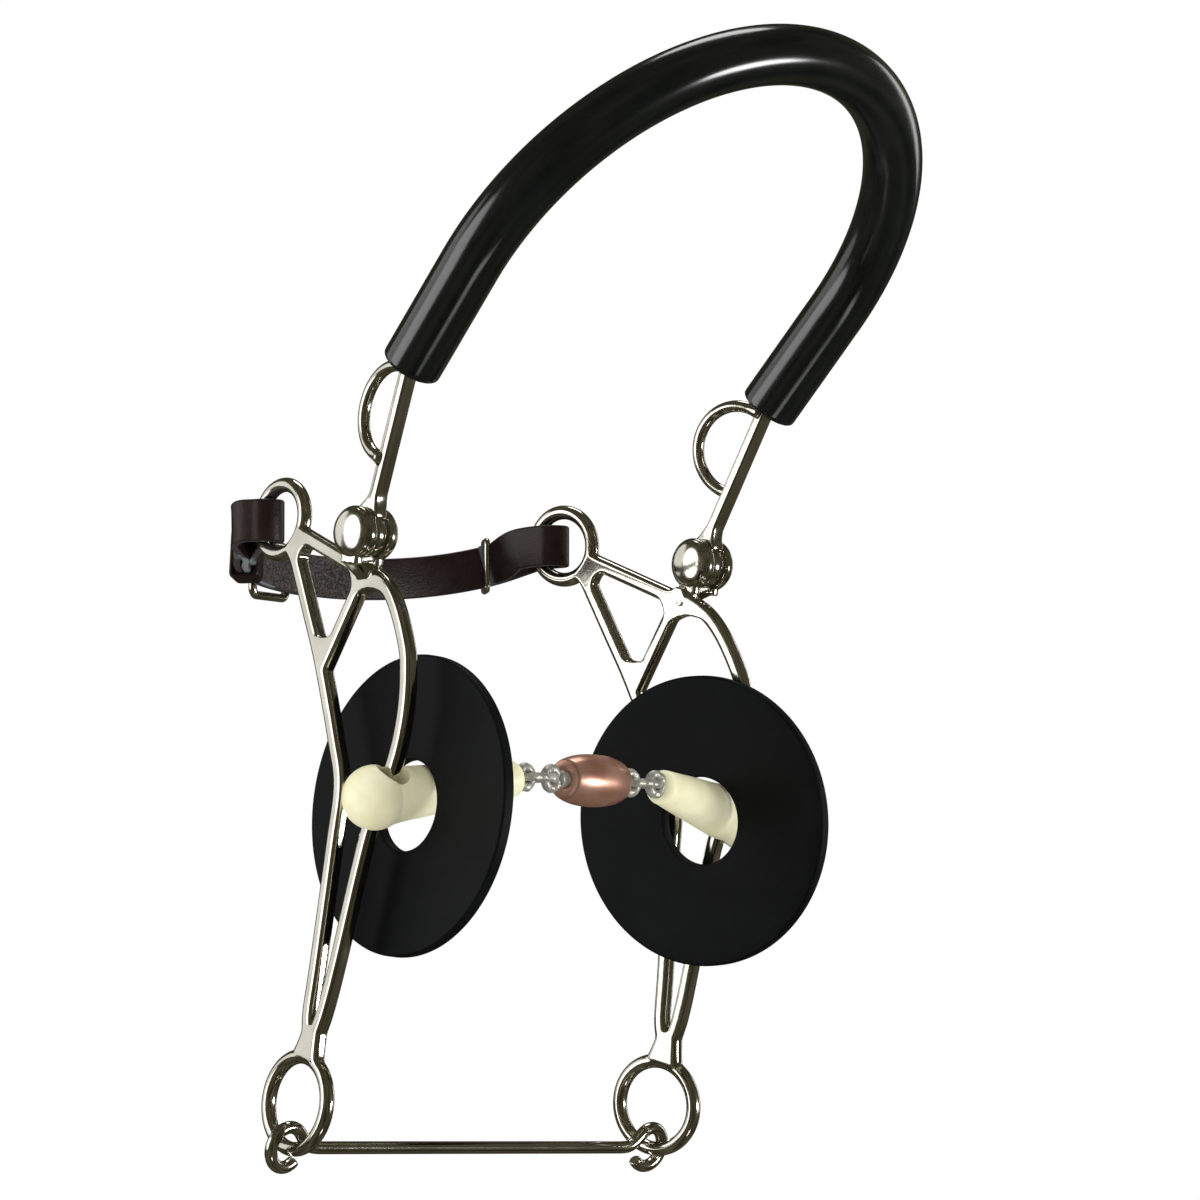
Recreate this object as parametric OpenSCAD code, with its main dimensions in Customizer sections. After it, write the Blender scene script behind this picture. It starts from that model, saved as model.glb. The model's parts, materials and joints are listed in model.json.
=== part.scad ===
// Combination hackamore bit: a rubber-covered noseband on two arms, pivoting shank cheeks with a
// curb strap, and a sliding jointed mouthpiece with a copper roller, bit guards and a slobber bar.
// X runs across the horse, -Y to the nose, +Y to the chin, +Z up. The origin is the middle of the
// line through the two arm pivots.

/* [Noseband] */
// Outside diameter of the rubber tube
tube_d = 17.8; // [16:0.1:19]
// Radius of the noseband arch at the tube's centre line
arch_r = 81.5; // [78:0.5:84]
// Length of each straight leg of the noseband
leg_len = 36.8; // [34:0.2:42]
// Rise of the noseband above the horizontal, in degrees
nose_tilt = 47.5; // [44:0.5:52]
// Lean of the straight legs towards each other, in degrees
leg_lean = 3; // [2:0.5:4]

/* [Arms and dees] */
// Diameter of the arm rods
arm_d = 5.2; // [4.8:0.1:5.2]
// Wire diameter of the dees
dee_wire = 3.6; // [3:0.1:4]
// Height of a dee between its wire centres
dee_h = 27; // [24:1:30]
// Depth of a dee's straight parts
dee_straight = 1.5; // [1:0.5:3]

/* [Cheeks] */
// Distance between the two cheek plates at pivot height
cheek_gap = 137.7; // [134:0.1:142]
// Angle by which the front of each cheek stands outwards
toe = 7.5; // [6:0.5:9]
// Angle by which the bottom of each cheek stands outwards
camber = 4.5; // [3.5:0.5:5.5]
// Width and thickness of the cheek's bars
bar_w = 4.6; // [4.2:0.1:4.8]
// Outside diameter of the curb ring
curb_ring_d = 25.2; // [24:0.2:27]
// Outside diameter of the rein ring
rein_ring_d = 31.4; // [30:0.2:33]
// Diameter of the fork ears
ear_d = 15.5; // [15:0.1:16]

/* [Mouthpiece] */
// Diameter of the ball on each mouth bar
ball_d = 19; // [18:0.2:20]
// Diameter of each mouth bar at its inner end
bar_tip_d = 10.4; // [9:0.2:11]
// Bore that slides on the cheek's front bar
slide_bore_d = 9.6; // [9.5:0.1:9.8]
// Length of the copper roller
roller_len = 23.5; // [22:0.5:25]
// Largest diameter of the copper roller
roller_d = 15.6; // [14:0.2:17]

/* [Bit guards] */
// Outside diameter of the rubber guards
guard_d = 88; // [80:1:90]
// Thickness of the rubber guards
guard_t = 3.8; // [3:0.1:4.5]
// Hole through the rubber guards
guard_hole_d = 26.6; // [25:0.2:28]

/* [Slobber bar] */
// Diameter of the slobber bar
slobber_d = 3.8; // [3.4:0.1:4]
// Inside diameter of its eyes
slobber_eye_d = 8.4; // [8.2:0.1:9]

/* [Curb strap] */
// Width of the leather
strap_w = 12.7; // [12:0.1:14]
// Thickness of one ply of leather
strap_t = 2.4; // [2:0.1:2.6]
// How far the strap bows back behind the curb rings
strap_bow = 29; // [26:1:32]
// How far the middle of the strap hangs below the curb rings
strap_drop = 11.5; // [10:0.5:13]

/* [Hidden] */
$fn = 48;
// Points in the plane of a cheek, as [back, up] from the point level with the pivot.
CURB = [46, 7.5];
TEE = [4.4, -10.9];
VEE = [21.4, -38.2];
REIN = [20.9, -165];
// The curved front bar is an arc that the mouthpiece slides on, and this is its centre.
slide_r = 56.2;
SLIDE = [38.5, -47];
slide_low = 32.3;   // degrees below the horizontal where the ball rests
slide_top = 16;     // degrees above it where the arc ends
// Rear bar and the straight lower part of the front bar, from the top down.
REAR = [VEE, [13.6, -59.5], [9.6, -72.5], [11.6, -90.5], [15.6, -124], [17.6, -138]];
FRONT_LOW = [[-6.6, -80.2], [-3.4, -88.5], [6.6, -124.5], [10.6, -138]];
NECK = [14.6, -144.5];
pivot_x = cheek_gap / 2 + 5.8;
eye_t = 5.4;
dee_turn = 13;      // degrees the dees turn in towards the back
dee_place = 0.7;    // of the way from the pivot to the tube
side_gap = 0.15;    // between the arm's eye and each ear
ear_in = eye_t / 2 + side_gap;
ear_out = 5.9;
dome_h = 1.1;
pin_r = 2.5;
run = 0.05;         // radial running clearance of the pivots
wire_r = bar_w / 2 - 0.1;
curb_r = curb_ring_d / 2 - wire_r;
rein_r = rein_ring_d / 2 - wire_r;
tube_r = tube_d / 2;
core_r = 3.2;
// End of the tube's centre line on the right-hand side.
NOSE_END = [79.3, -22.4, 46.8];
// Mouth bar: ball centre and inner eye on the right-hand side.
BALL = [79.1, -7.9, -77];
BAR_EYE = [28.9, -20.9, -69.6];
chain_y = BAR_EYE[1];
chain_z = BAR_EYE[2];
bar_dir = (BAR_EYE - BALL) / norm(BAR_EYE - BALL);
bar_len = 50;       // ball centre to the ivory's inner end
eye_wire = 1.1;
eye_ring_r = 2.9;
link_wire = 1.0;
link_half = 5.9;    // half the length of a link between its wire centres
link_side = 2.6;
link_x = 23.2;
rod_eye_x = 17.5;
rod_r = 2.2;
roller_taper = 1.7;   // how much less the radius is at the roller's ends
roller_bore_r = rod_r + 0.08;
// Guards hang on the mouth bars with the top of the hole near the bar.
GUARD = [64.6, -8.9, -78.9];
slobber_r = slobber_d / 2;
slobber_eye_r = slobber_eye_d / 2 + slobber_r;
slobber_swing = 15; // degrees the eyes stand behind the bottom of the rein rings
// Curb strap: buckle, keeper and loops sit at these angles round its half ellipse.
LOOP_ANGLE = 10;
KEEPER_ANGLE = 29;
BUCKLE_ANGLE = 112;
BILLET_END = 162;
buckle_half = 9.2;  // half the distance between the buckle's end bars
buckle_h = strap_w + 5.6;
buckle_wire = 1.3;
prong_r = 0.8;
frame_out = 1.5 * strap_t + 0.4 + buckle_wire;

// ---- helpers ----

module left_side() mirror([1, 0, 0]) children();

// Round rod from a to b with ball ends, so that rods meet smoothly.
module rod(a, b, r) {
    d = b - a;
    translate(a) rotate([0, acos(d[2] / norm(d)), atan2(d[1], d[0])]) cylinder(r = r, h = norm(d));
}

// Turns the local Z axis to point along d.
module along(p, d) translate(p) rotate([0, acos(d[2] / norm(d)), atan2(d[1], d[0])]) children();

// Plane of the right-hand cheek: local X is its outward normal, Y back and Z up.
module cheek_plane() translate([cheek_gap / 2, 0, 0]) rotate([0, 0, toe]) rotate([0, -camber, 0])
    children();

// World place of a point [back, up] in the right-hand cheek's plane.
function in_cheek(p) = [
    cheek_gap / 2 + p[1] * sin(-camber) * cos(toe) - p[0] * sin(toe),
    p[1] * sin(-camber) * sin(toe) + p[0] * cos(toe),
    p[1] * cos(camber)
];

// Flat bar through a list of points in the cheek's plane, drawn in 2D with X back and Y up.
// Its joints are a hair wider than the bar, so that no edge only touches another.
module stroke(points, w) {
    joint = w + 0.08;
    for (i = [0 : len(points) - 2]) {
        d = points[i + 1] - points[i];
        translate(points[i]) rotate(atan2(d[1], d[0])) translate([0, -w / 2]) square([norm(d), w]);
        translate(points[i]) circle(d = joint);
    }
    translate(points[len(points) - 1]) circle(d = joint);
}

// Flat arc of radius r between two angles, in 2D.
module arc_bar(r, w, from, to) {
    reach = 2 * r;
    mid = (from + to) / 2;
    intersection() {
        difference() {
            circle(r = r + w / 2, $fn = 120);
            circle(r = r - w / 2, $fn = 120);
        }
        polygon([[0, 0], reach * [cos(from), sin(from)], reach * [cos(mid), sin(mid)],
            reach * [cos(to), sin(to)]]);
    }
}

module ring(r, wire) rotate_extrude($fn = 96) translate([r, 0]) circle(r = wire);

// Oval ring of round wire in its local XY plane, long in X.
module oval(half, side, wire) {
    for (s = [-1, 1]) {
        translate([s * (half - side), 0, 0]) rotate([0, 0, s > 0 ? -90 : 90])
            rotate_extrude(angle = 180) translate([side, 0]) circle(r = wire);
        translate([-(half - side), s * side, 0]) rotate([0, 90, 0])
            cylinder(r = wire, h = 2 * (half - side));
    }
}

// ---- noseband, arms and dees ----

// Plane of the noseband: local X across, Y forwards and up from the tube's ends.
module nose_plane() translate([0, NOSE_END[1], NOSE_END[2]]) rotate([180 - nose_tilt, 0, 0])
    children();

arch_y = leg_len * cos(leg_lean) + arch_r * sin(leg_lean);

// Round bar of radius r along the noseband, its ends cut back by inset. The legs are a hair
// thicker than the arch, which they reach into.
module nose_run(r, inset) {
    step = 0.04;
    translate([0, arch_y, 0]) rotate([0, 0, -leg_lean])
        rotate_extrude(angle = 180 + 2 * leg_lean) translate([arch_r, 0]) circle(r = r);
    for (s = [-1, 1])
        translate([s * arch_r * cos(leg_lean), arch_y - arch_r * sin(leg_lean), 0])
            rotate([90, 0, s * -leg_lean]) translate([0, 0, -0.5])
                cylinder(r = r + step, h = leg_len - inset + 0.5);
}

module noseband_tube() color([0.07, 0.07, 0.07]) nose_plane() difference() {
    nose_run(tube_r, 0);
    nose_run(core_r + 0.1, -2);
}

module noseband_core() color("silver") nose_plane() nose_run(core_r, 9);

leg_out = [-sin(leg_lean), cos(nose_tilt) * cos(leg_lean), -sin(nose_tilt) * cos(leg_lean)];

// Rod from the eye straight out of the fork, then up to the noseband and a little way into it.
module arm() color("silver") {
    foot = [pivot_x, 0, 0];
    bend = NOSE_END + leg_out * 1.5;
    knee = foot + 11 * [0, bend[1], bend[2]] / norm([bend[1], bend[2]]);
    difference() {
        union() {
            translate(foot - [eye_t / 2, 0, 0]) rotate([0, 90, 0]) cylinder(d = ear_d - 1.5, h = eye_t);
            rod(foot, knee, arm_d / 2);
        }
        translate(foot - [eye_t, 0, 0]) rotate([0, 90, 0]) cylinder(r = pin_r + run, h = 2 * eye_t);
    }
    translate(knee) sphere(r = arm_d / 2 + 0.04);
    rod(knee, bend, arm_d / 2);
    translate(bend) sphere(r = arm_d / 2 + 0.04);
    rod(bend, NOSE_END - leg_out * 9, arm_d / 2);
}
module left_arm() left_side() arm();
module right_arm() arm();

// Dee on the back of an arm, its plane turned in with the cheek.
module dee() color("silver") {
    arm_line = NOSE_END - [pivot_x, 0, 0];
    spot = [pivot_x, 0, 0] + arm_line * dee_place;
    lean = atan2(-arm_line[1], arm_line[2]);
    reach = dee_straight + arm_d / 2;
    translate(spot) rotate([lean, 0, 0]) rotate([0, 0, dee_turn]) {
        translate([0, reach, 0]) rotate([0, 90, 0]) rotate_extrude(angle = 180)
            translate([dee_h / 2, 0]) circle(d = dee_wire);
        for (s = [-1, 1]) translate([0, 0, s * dee_h / 2]) rotate([-90, 0, 0])
            cylinder(d = dee_wire, h = reach);
    }
}
module left_dee() left_side() dee();
module right_dee() dee();

// ---- cheeks and pivots ----

// Outline of the flat bars, in 2D with X back and Y up.
module cheek_outline() {
    translate(SLIDE) arc_bar(slide_r, bar_w, 180 - slide_top, 180 + slide_low + 3);
    arc_top = SLIDE + slide_r * [cos(180 - slide_top), sin(180 - slide_top)];
    stroke([arc_top, [-11.6, -24], [-6.4, -16.2], [0, -11.4], TEE], bar_w);
    stroke(FRONT_LOW, bar_w);
    stroke(REAR, bar_w);
    stroke([TEE, VEE], bar_w);
    stroke([CURB - [curb_r + 0.4, 5.2], TEE], bar_w);
    stroke([CURB - [7.4, curb_r - 1.2], VEE], bar_w);
    stroke([FRONT_LOW[3], NECK, REAR[5]], bar_w + 1);
    stroke([NECK, REIN + [-3.4, rein_r - 1.4]], bar_w + 2.4);
}

module ear(outward) translate([pivot_x, 0, 0]) rotate([0, outward * 90, 0])
    rotate_extrude($fn = 64) polygon(concat(
        [[0, ear_in], [ear_d / 2, ear_in], [ear_d / 2, ear_out - 0.6]],
        [for (a = [0 : 15 : 90]) [ear_d / 2 * cos(a), ear_out - 0.6 + (dome_h + 0.6) * sin(a)]]));

module cheek() color("silver") difference() {
    union() {
        cheek_plane() rotate([90, 0, 90]) translate([0, 0, -bar_w / 2])
            linear_extrude(bar_w) cheek_outline();
        cheek_plane() translate([0, CURB[0], CURB[1]]) rotate([0, 90, 0]) ring(curb_r, wire_r);
        cheek_plane() translate([0, REIN[0], REIN[1]]) rotate([0, 90, 0]) ring(rein_r, wire_r);
        ear(1);
        ear(-1);
        translate([pivot_x - ear_out + 0.9, 0.4, -12.6]) cube([2 * ear_out - 1.8, 6, 5]);
        for (s = [-1, 1]) translate([pivot_x + s * (ear_in + ear_out - 0.8) / 2, 3.4, -9])
            cube([ear_out - ear_in - 1, 5, 6], center = true);
    }
    translate([pivot_x - 10, 0, 0]) rotate([0, 90, 0]) cylinder(r = pin_r, h = 20);
}
module left_cheek() left_side() cheek();
module right_cheek() cheek();

// Rivet that fills the fork's bore between the domed faces.
module pivot_pin() color("silver") translate([pivot_x - ear_out - 0.6, 0, 0]) rotate([0, 90, 0])
    cylinder(r = pin_r, h = 2 * (ear_out + 0.6));
module left_pivot_pin() left_side() pivot_pin();
module right_pivot_pin() pivot_pin();

// ---- mouthpiece ----

// Ivory bar: a ball, a swelling that the guard hangs on, and a long taper.
module mouth_bar() color([0.88, 0.87, 0.73]) {
    tangent = [-sin(toe) * sin(slide_low), cos(toe) * sin(slide_low), -cos(slide_low)];
    difference() {
        along(BALL, bar_dir) rotate_extrude($fn = 72) polygon(concat(
            [for (a = [-90 : 15 : 30]) [ball_d / 2 * cos(a), ball_d / 2 * sin(a)]],
            [[8.1, 8.5], [7.6, 15], [7, 24], [6.2, 35], [bar_tip_d / 2, bar_len - 2.4],
                [bar_tip_d / 2 - 0.8, bar_len - 0.6], [bar_tip_d / 2 - 2, bar_len], [0, bar_len]]));
        along(BALL + bar_dir * 3.4, tangent) translate([0, 0, -20]) cylinder(d = slide_bore_d, h = 40);
        along(BALL, bar_dir) translate([0, 0, bar_len - 14]) cylinder(r = 1.8, h = 20);
    }
}
module left_mouth_bar() left_side() mouth_bar();
module right_mouth_bar() mouth_bar();

// Steel eye at the inner end of a mouth bar, with its shank bedded in the ivory.
module bar_eye() color([0.55, 0.55, 0.53]) {
    translate(BAR_EYE) rotate([90, 0, 0]) ring(eye_ring_r, eye_wire);
    rod(BAR_EYE - bar_dir * 2.4, BALL + bar_dir * (bar_len - 14), 1.8);
}
module left_bar_eye() left_side() bar_eye();
module right_bar_eye() bar_eye();

module link() color([0.5, 0.5, 0.48]) translate([link_x, chain_y, chain_z])
    oval(link_half, link_side, link_wire);
module left_link() left_side() link();
module right_link() link();

// Rod through the roller, with an eye at each end.
module roller_rod() color([0.5, 0.5, 0.48]) translate([0, chain_y, chain_z]) {
    tip = rod_eye_x - eye_ring_r;
    translate([-tip, 0, 0]) rotate([0, 90, 0]) cylinder(r = rod_r, h = 2 * tip);
    for (s = [-1, 1]) translate([s * rod_eye_x, 0, 0]) rotate([90, 0, 0]) ring(eye_ring_r, eye_wire);
}

// Barrel-shaped copper roller.
module copper_roller() color([0.72, 0.43, 0.33]) translate([0, chain_y, chain_z]) rotate([0, 90, 0])
    rotate_extrude($fn = 72) polygon(concat(
        [[roller_bore_r, -roller_len / 2]],
        [for (i = [-5 : 5]) [roller_d / 2 - roller_taper * pow(i / 5, 2), i / 10 * roller_len]],
        [[roller_bore_r, roller_len / 2]]));

// Flat rubber guard, level with its cheek.
module guard() color([0.1, 0.1, 0.1]) translate(GUARD) rotate([0, 0, toe]) rotate([0, -camber, 0])
    rotate([0, 90, 0]) difference() {
        translate([0, 0, -guard_t / 2]) cylinder(d = guard_d, h = guard_t, $fn = 120);
        translate([0, 0, -guard_t]) cylinder(d = guard_hole_d, h = 2 * guard_t, $fn = 96);
    }
module left_guard() left_side() guard();
module right_guard() guard();

// ---- slobber bar ----

module slobber_bar() color("silver") {
    hook = in_cheek(REIN + rein_r * [sin(slobber_swing), -cos(slobber_swing)]);
    for (s = [-1, 1]) translate([s * hook[0], hook[1], hook[2]]) rotate([90 + slobber_swing, 0, 0])
        ring(slobber_eye_r, slobber_r);
    inner = hook[0] - slobber_eye_r + slobber_r / 2;
    translate([-inner, hook[1], hook[2]]) rotate([0, 90, 0]) cylinder(r = slobber_r, h = 2 * inner);
}

// ---- curb strap ----

RING_BACK = in_cheek(CURB + [curb_r, 0]);

// Centre of the strap at angle a, from 0 at the right-hand curb ring to 180 at the left-hand one.
function strap_at(a, out) = [
    (RING_BACK[0] + out) * cos(a),
    RING_BACK[1] + (strap_bow + out) * sin(a),
    RING_BACK[2] - strap_drop * sin(a)
];

// Upright band along the strap between two angles, its middle set out from the strap's middle.
module strap_band(from, to, out, w, t) {
    steps = 24;
    sections = [for (i = [0 : steps]) let (a = from + (to - from) * i / steps)
        [for (c = [[-1, -1], [1, -1], [1, 1], [-1, 1]])
            strap_at(a, out + c[0] * t / 2) + [0, 0, c[1] * w / 2]]];
    polyhedron(
        points = [for (s = sections) for (p = s) p],
        faces = concat([[0, 1, 2, 3]], [[4 * steps + 3, 4 * steps + 2, 4 * steps + 1, 4 * steps]],
            [for (i = [0 : steps - 1]) for (k = [0 : 3])
                [4 * i + k, 4 * i + 4 + k, 4 * i + 4 + (k + 1) % 4, 4 * i + (k + 1) % 4]]));
}

// Places children on the strap at angle a, local X along it and Y outwards.
module on_strap(a, out) {
    p = strap_at(a, out);
    ahead = strap_at(a + 1, out) - strap_at(a - 1, out);
    translate(p) rotate([0, 0, atan2(-ahead[1], -ahead[0])]) children();
}

module curb_strap() color([0.16, 0.1, 0.08]) strap_band(LOOP_ANGLE, 180 - LOOP_ANGLE, 0, strap_w, strap_t);

// Second ply: the tail under the buckle, slotted where the prong turns on its heel bar.
module strap_billet() color([0.18, 0.11, 0.09]) difference() {
    strap_band(BUCKLE_ANGLE - 16, BILLET_END, strap_t + 0.1, strap_w, strap_t);
    on_strap(BUCKLE_ANGLE, strap_t) translate([-buckle_half, 0, 0]) cube([9, 12, 5], center = true);
}

// Upright oval post of radius r round the back of a curb ring, which curves forwards in it.
module loop_post(r, h) {
    forwards = 2.2;
    for (y = [-forwards, 0]) translate([0, y, -h / 2]) cylinder(r = r, h = h);
    translate([-r, -forwards, -h / 2]) cube([2 * r, forwards, h]);
}

// Leather fold round the back of a curb ring, set out a little to clear the ring's lean.
module ring_loop() color([0.16, 0.1, 0.08]) translate(RING_BACK + [0.4, 0, 0]) {
    hole = wire_r + 1.1;
    difference() {
        loop_post(hole + strap_t, strap_w);
        loop_post(hole, 2 * strap_w);
    }
}
module left_ring_loop() left_side() ring_loop();
module right_ring_loop() ring_loop();

// Rectangular wire frame round the strap. The prong turns on its end bar nearer the left.
module buckle_frame() color("silver") on_strap(BUCKLE_ANGLE, frame_out) {
    half_h = buckle_h / 2 - buckle_wire;
    for (s = [-1, 1]) {
        translate([-buckle_half, 0, s * half_h]) rotate([0, 90, 0])
            cylinder(r = buckle_wire, h = 2 * buckle_half);
        translate([s * buckle_half, 0, -half_h]) cylinder(r = buckle_wire, h = 2 * half_h);
        for (e = [-1, 1]) translate([e * buckle_half, 0, s * half_h]) sphere(r = buckle_wire);
    }
}

module buckle_prong() color("silver") on_strap(BUCKLE_ANGLE, frame_out) {
    turn_r = buckle_wire + 0.08;
    top = buckle_wire + prong_r + 0.08;
    translate([-buckle_half, 0, 0]) difference() {
        translate([0, 0, -prong_r]) cylinder(r = turn_r + 2 * prong_r, h = 2 * prong_r);
        translate([0, 0, -2 * prong_r]) cylinder(r = turn_r, h = 4 * prong_r);
    }
    translate([-buckle_half + 0.6, top, 0]) rotate([0, 90, 0])
        cylinder(r = prong_r, h = 2 * buckle_half + 1);
}

// Box loop round two plies of the strap at angle a, its middle set out from the strap's middle.
module keeper(a, out, tilt, length, wall) {
    depth = 2 * strap_t + 1.3;
    on_strap(a, out) rotate([0, tilt, 0]) difference() {
        cube([length, depth + 2 * wall, strap_w + 0.8 + 2 * wall], center = true);
        cube([length + 1, depth, strap_w + 0.8], center = true);
    }
}
module metal_keeper() color("silver") keeper(KEEPER_ANGLE, -strap_t / 2, 0, 1.9, 1.8);

// Long enough to have to follow the strap's fall.
module leather_keeper() color([0.16, 0.1, 0.08]) {
    a = BUCKLE_ANGLE + 26;
    ahead = strap_at(a + 1, 0) - strap_at(a - 1, 0);
    keeper(a, strap_t / 2, atan2(ahead[2], norm([ahead[0], ahead[1]])), 7, 1.4);
}

noseband_tube();
noseband_core();
left_arm();
right_arm();
left_dee();
right_dee();
left_cheek();
right_cheek();
left_pivot_pin();
right_pivot_pin();
left_mouth_bar();
right_mouth_bar();
left_bar_eye();
right_bar_eye();
left_link();
right_link();
roller_rod();
copper_roller();
left_guard();
right_guard();
slobber_bar();
curb_strap();
left_ring_loop();
right_ring_loop();
strap_billet();
buckle_frame();
buckle_prong();
metal_keeper();
leather_keeper();
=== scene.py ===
"""Looks of a combination hackamore bit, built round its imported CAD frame.

X runs across the horse, -Y to the nose, +Y to the chin, +Z up. Shapes are worked out in millimetres
in the CAD's frame and scaled to metres when a mesh is made.
"""

import json
import math

import bmesh
import bpy
from mathutils import Matrix, Vector
from mathutils.noise import noise


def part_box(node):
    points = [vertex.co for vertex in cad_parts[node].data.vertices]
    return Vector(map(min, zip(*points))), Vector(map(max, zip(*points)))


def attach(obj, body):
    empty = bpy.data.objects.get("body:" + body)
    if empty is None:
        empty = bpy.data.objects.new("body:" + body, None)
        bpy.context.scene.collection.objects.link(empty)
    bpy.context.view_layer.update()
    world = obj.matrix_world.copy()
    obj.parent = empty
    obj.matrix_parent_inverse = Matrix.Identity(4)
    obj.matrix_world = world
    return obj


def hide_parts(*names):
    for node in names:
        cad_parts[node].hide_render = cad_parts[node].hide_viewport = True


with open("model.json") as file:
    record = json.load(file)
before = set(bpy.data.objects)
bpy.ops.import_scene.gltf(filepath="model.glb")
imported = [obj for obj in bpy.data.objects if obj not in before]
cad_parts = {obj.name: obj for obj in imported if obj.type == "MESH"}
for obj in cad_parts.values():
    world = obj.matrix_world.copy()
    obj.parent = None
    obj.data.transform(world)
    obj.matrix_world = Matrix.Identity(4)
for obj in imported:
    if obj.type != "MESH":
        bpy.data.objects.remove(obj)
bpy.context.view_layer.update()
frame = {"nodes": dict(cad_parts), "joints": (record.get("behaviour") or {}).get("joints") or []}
MM = 0.001
UP = Vector((0, 0, 1))
ACROSS = Vector((1, 0, 0))
SIDES = {"left": -1, "right": 1}
joints = {j["name"]: j for j in frame["joints"]}


def joint_place(name):
    """Where a joint of the record turns, in millimetres."""
    return Vector(joints[name]["pos_m"]) / MM


def mirrored(point, side):
    """A point given for the right-hand side, on the side asked for."""
    return Vector((point[0] * SIDES[side], point[1], point[2]))


# ---- sizes in millimetres ----

PIVOT_X = joint_place("right_cheek_swing").x
NOSE_TILT = math.radians(47.5)
LEG_LEAN = math.radians(3)
ARCH_R = 81.5
LEG_LEN = 36.8
TUBE_R = 8.9
# Right-hand end of the tube's centre line.
NOSE_END = Vector((79.3, -22.4, 46.8))
LEG_STEPS = 24
BOW_STEPS = 120
# The arm widens round FLARE_UP and bends at KNEE_UP above its eye, and enters the tube by IN_TUBE.
ARM_W = 5.2
ARM_T = 3.4
ARM_EDGE = 0.8
FLARE_UP = 6.5
FLARE = 1.5
KNEE_UP = 11
IN_TUBE = 8
DEE_WIRE_R = 1.8
DEE_H = 27
DEE_STRAIGHT = 1.5
DEE_TURN = math.radians(13)
# How far up the arm the dee sits, from the pivot at 0 to the tube's end at 1.
DEE_PLACE = 0.7
# The fork's ears reach from EAR_IN to EAR_OUT either side of the pivot, with a dome DOME_H high.
EAR_R = 7.83
EAR_IN = 2.81
EAR_OUT = 5.96
DOME_H = 1.8
EYE_T = 5.4
EYE_FLAT_R = 5.2
BALL = Vector((79.1, -7.9, -77))
BAR_EYE = Vector((28.9, -20.9, -69.6))
BALL_R = 9.5
BAR_LEN = 50
# The ball's bore: straight in its middle, wider towards its mouths, and shifted along the bar.
BORE_R = 4.5
BORE_STRAIGHT = 4.5
BORE_GROWTH = 0.045
BORE_REACH = 14
BORE_SHIFT = 3.4
# Slope of the front bar where the ball rests on it.
SLIDE_LOW = math.radians(32.3)
CHEEK_X = 68.85
BAR_W = 4.6
BAR_EDGE = 1.5
FORK_W = 7.0
RING_WIRE_R = 2.2
CURB_R = 10.4
REIN_R = 13.5
# Points in the plane of a cheek, as (back, up) from the point level with the pivot.
CURB = (46, 7.5)
TEE = (4.4, -10.9)
VEE = (21.4, -38.2)
REIN = (20.9, -165)
SLIDE_CENTRE = (38.5, -47)
SLIDE_R = 56.2
FRONT_TOP = [TEE, (0.6, -11.6), (-6, -16), (-11.4, -23.4)]
FRONT_LOW = [(-3.6, -88.5), (6.4, -124.5), (10.6, -138), (13.2, -144)]
REAR_TOP = [(30, -20), (22.6, -36), (13.8, -59.5), (9.8, -73)]
REAR = REAR_TOP + [(11.4, -90), (15.4, -124), (17.3, -138), (17.2, -144)]
# Where the two bars meet above the rein ring, and how wide they are together.
THROAT = [(15.2, -142.6), (15.5, -145.6), (16.3, -148.6), (17.3, -152)]
THROAT_W = 8.2
# Where the two struts leave the curb ring.
UPPER = (35.2, 2.3)
LOWER = (38.6, -1.7)
ROLLER_LEN = 23.5
ROLLER_R = 7.8
ROLLER_BORE_R = 2.28
ROLLER_TAPER = 1.7
GUARD_R = 44
GUARD_HOLE_R = 13.3
GUARD_T = 3.8
GUARD_EDGE = 0.8
SLOBBER_R = 1.9
SLOBBER_EYE_R = 6.1
# Where the slobber bar's hooks start and how far they wind, how they lean and how far they spread.
HOOK_START = -42
HOOK_TURN = 272
HOOK_LEAN = math.radians(15)
HOOK_SPREAD = 0.9
HOOK_STEPS = 32
STRAP_W = 12.7
STRAP_T = 2.4
STRAP_BOW = 29
STRAP_DROP = 11.5
# Radius of the strap's middle where it folds round a ring's wire.
FOLD_R = 4.5
# The strap's rough inner side, and the painted highlight that makes its edges palest, go only on the part
# this far behind the rings.
FLESH_AND_HIGHLIGHT_DEPTH = 9
# Places along the strap, in degrees from the right-hand ring.
KEEPER_ANGLE = 29
BUCKLE_ANGLE = 112
LEATHER_KEEPER_ANGLE = 138
BILLET_END = 163
BUCKLE_HALF = 9.2
BUCKLE_H = 18.3
BUCKLE_WIRE_R = 1.3
PRONG_R = 0.8
FRAME_OUT = 5.3
KEEPER_WIRE_R = 0.95
KEEPER_WALL = 1.4
KEEPER_LEN = 7
# Radius for the points on the axis of a turned shape.
NEAR_AXIS = 0.01
# Steps in the rounding of a swept shape's ends.
EDGE_STEPS = 5


# ---- materials ----

# Darkest and lightest colour of each.
STEEL_TONES = (0.60, 0.58, 0.50), (0.74, 0.72, 0.65)
CORE_TONES = (0.38, 0.38, 0.37), (0.55, 0.55, 0.53)
CAST_TONES = (0.36, 0.355, 0.31), (0.60, 0.59, 0.53)
TUBE_TONES = (0.0022, 0.0034, 0.0036), (0.005, 0.007, 0.007)
GUARD_TONES = (0.0016, 0.0026, 0.0028), (0.004, 0.0055, 0.0055)
IVORY_TONES = (0.76, 0.72, 0.45), (0.85, 0.82, 0.58)
COPPER_TONES = (0.74, 0.36, 0.25), (0.9, 0.52, 0.40)
LEATHER_TONES = (0.009, 0.0035, 0.0026), (0.024, 0.0105, 0.0075)
BURNISHED_TONES = (0.008, 0.0035, 0.0026), (0.018, 0.008, 0.006)
FLESH_TONES = (0.012, 0.007, 0.006), (0.10, 0.08, 0.075)
ROOM_TONES = (0.022, 0.021, 0.012), (0.11, 0.10, 0.065)
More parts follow.
